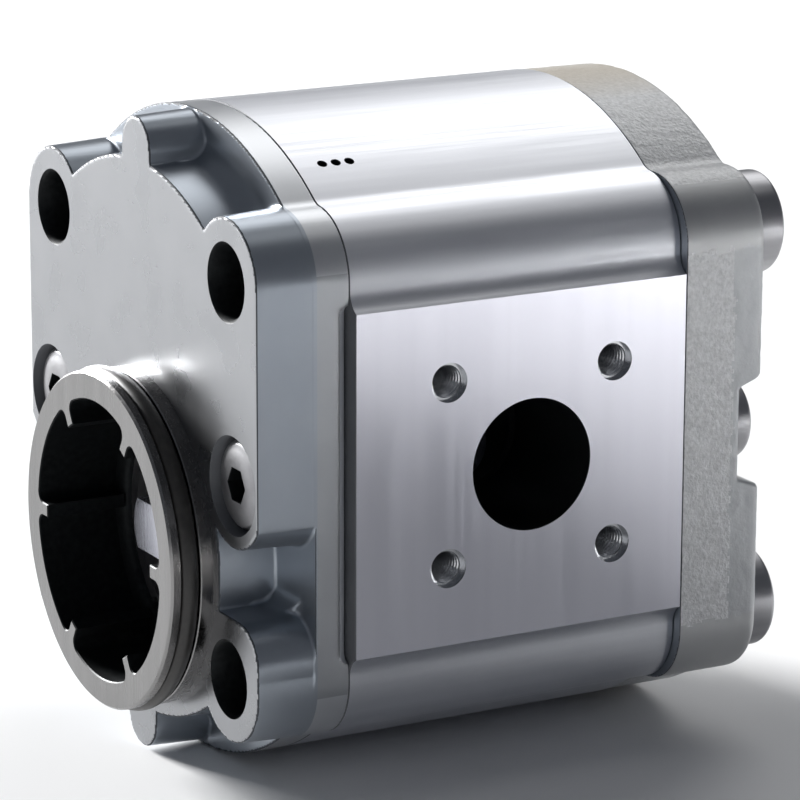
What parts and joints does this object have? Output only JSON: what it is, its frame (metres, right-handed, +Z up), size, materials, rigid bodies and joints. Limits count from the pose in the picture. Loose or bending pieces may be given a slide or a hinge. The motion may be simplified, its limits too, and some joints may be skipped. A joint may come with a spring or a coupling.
{
  "type": "hydraulic gear pump",
  "caption": "External gear pump: ribbed front cover with round locating pilot and tang drive, extruded body with square-flange side ports, cast rear cover.",
  "frame": {"origin": "where the drive shaft's axis meets the mounting face, at the root of the locating pilot", "axes": "+Y along the drive shaft into the pump, +Z up towards the driven gear, +X towards one port; the mounting face looks along -Y"},
  "size_m": [0.084, 0.0988, 0.1],
  "materials": {
    "front_cover": "satin, blasted and lightly machined",
    "body": "drawn and brushed along its length",
    "rear_cover": "rough cast",
    "ground_steel": "ground",
    "bearing_block": "machined",
    "bush": "sliding layer",
    "seal_rubber": "moulded rubber",
    "backup_plastic": "plain",
    "black_steel": "black oxide",
    "plated_steel": "plated"
  },
  "bodies": {
    "housing": {"front_cover": "front_cover", "pump_body": "body", "rear_cover": "rear_cover", "front_bearing_block": "bearing_block", "rear_bearing_block": "bearing_block", "front_drive_bush": "bush", "front_driven_bush": "bush", "rear_drive_bush": "bush", "rear_driven_bush": "bush", "front_axial_seal": "seal_rubber", "rear_axial_seal": "seal_rubber", "front_backup_ring": "backup_plastic", "rear_backup_ring": "backup_plastic", "front_body_seal": "seal_rubber", "rear_body_seal": "seal_rubber", "shaft_seal": "seal_rubber", "garter_spring": "ground_steel", "seal_snap_ring": "black_steel", "pilot_o_ring": "seal_rubber", "front_clamp_screws": "plated_steel", "rear_clamp_screws": "black_steel", "through_screws": "black_steel", "front_dowel_pins": "ground_steel", "rear_dowel_pins": "ground_steel"},
    "drive_gear": {"drive_gear_shaft": "ground_steel"},
    "driven_gear": {"driven_gear_shaft": "ground_steel"}
  },
  "joints": [
    {"name": "drive_shaft_spin", "type": "hinge", "parent": "housing", "child": "drive_gear", "pos_m": [0, 0.043, 0], "axis": [0, 1, 0], "continuous": true},
    {"name": "driven_gear_spin", "type": "hinge", "parent": "housing", "child": "driven_gear", "pos_m": [0, 0.043, 0.031], "axis": [0, 1, 0], "continuous": true}
  ],
  "couplings": [
    {"joint": "driven_gear_spin", "follows": "drive_shaft_spin", "ratio": -1}
  ]
}
